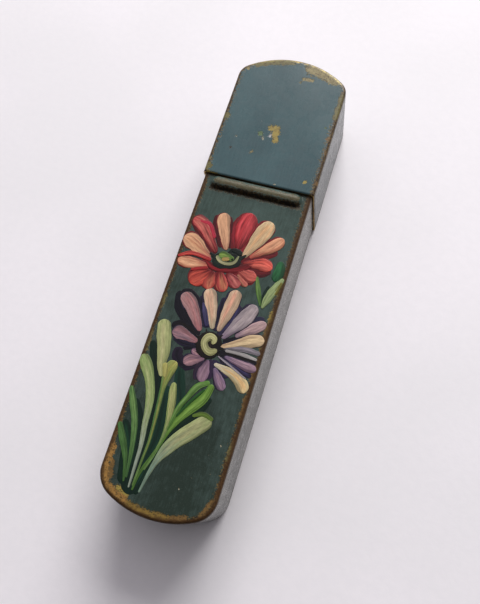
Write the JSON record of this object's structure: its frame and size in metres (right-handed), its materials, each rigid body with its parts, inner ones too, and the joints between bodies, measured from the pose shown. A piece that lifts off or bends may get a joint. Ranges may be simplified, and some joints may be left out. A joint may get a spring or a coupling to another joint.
{
  "type": "lipstick case",
  "caption": "Flat painted brass lipstick case with arched ends: a slip-over cap, a bead that stops it, and a thumb slide that pushes the lipstick up through the mouth.",
  "frame": {"origin": "on the plane the closed case lies on, under the middle of its length and width", "axes": "+Z out of the painted front, +Y along the case toward the cap, +X to the right seen from the front with the cap up; the slider is on the left, at -X"},
  "size_m": [0.0199, 0.079, 0.0144],
  "materials": {
    "body_paint": "worn satin enamel over brass, green-gray, with painted flowers on the front",
    "cap_paint": "worn satin enamel over brass, blue-gray",
    "brass": "drawn sheet brass, slightly tarnished",
    "bright_brass": "polished brass, handled",
    "spring_steel": "blued spring steel, satin",
    "lipstick_wax": "smooth red wax"
  },
  "bodies": {
    "body": {"body_front_plate": "body_paint", "body_back_plate": "body_paint", "body_side_band": "body_paint", "mouth_plate": "brass", "guide_tube": "brass", "tube_bridge": "brass"},
    "carriage": {"carrier": "brass", "carrier_spring": "spring_steel", "refill_cup": "bright_brass", "lipstick_bullet": "lipstick_wax", "push_rod": "brass", "rod_pin": "spring_steel", "slider_block": "brass", "slider_stem": "brass", "slider_shoe": "brass", "slider_leaf_spring": "spring_steel", "slider_knob": "bright_brass", "slider_screw": "spring_steel"},
    "cap": {"cap_front_plate": "cap_paint", "cap_back_plate": "cap_paint", "cap_side_band": "cap_paint"}
  },
  "joints": [
    {"name": "lipstick_slide", "type": "slide", "parent": "body", "child": "carriage", "axis": [0, 1, 0], "range_m": [0, 0.015]},
    {"name": "cap_pull", "type": "slide", "parent": "body", "child": "cap", "axis": [0, 1, 0], "range_m": [0, 0.03]}
  ]
}
